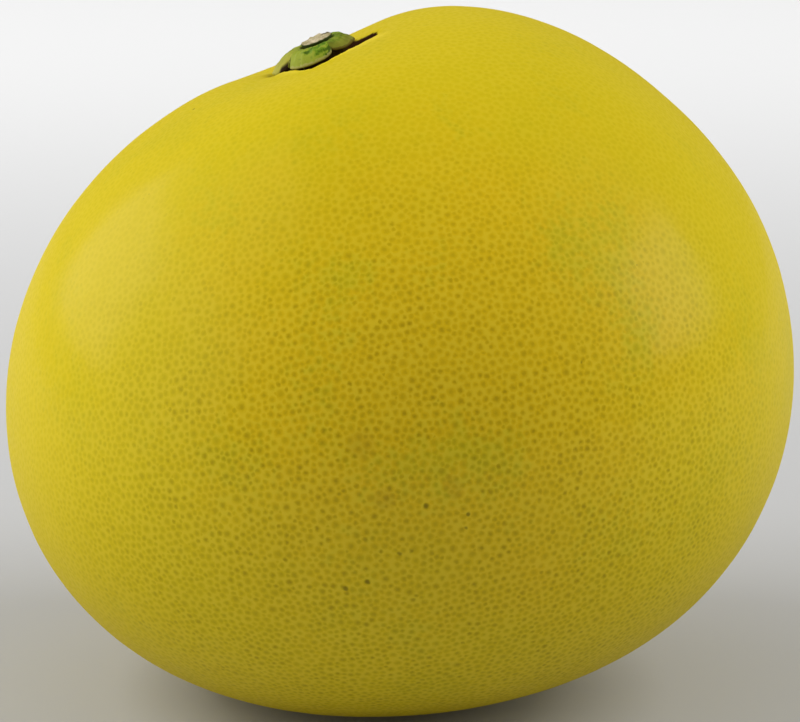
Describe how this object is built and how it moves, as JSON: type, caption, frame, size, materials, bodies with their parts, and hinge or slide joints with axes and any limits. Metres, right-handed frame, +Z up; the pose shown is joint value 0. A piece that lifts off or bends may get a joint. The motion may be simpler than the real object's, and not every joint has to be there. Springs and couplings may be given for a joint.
{
  "type": "grapefruit",
  "caption": "Whole large yellow grapefruit, broad and slightly lopsided, resting on a small flat, with its green calyx and a cut stub of stalk in a shallow basin.",
  "frame": {"origin": "the middle of the small flat underneath, which the fruit rests on", "axes": "+Z up out of the surface it rests on; the stem end leans towards -X; -Y is the side it is usually seen from"},
  "size_m": [0.1249, 0.1255, 0.1093],
  "materials": {
    "peel": "waxy satin peel, yellow with fine olive oil glands",
    "calyx": "matt leathery green with pale edges",
    "cut_stalk": "dry pale cut wood"
  },
  "bodies": {
    "root": {"fruit": "peel", "calyx": "calyx", "stem_stub": "cut_stalk"}
  },
  "joints": []
}
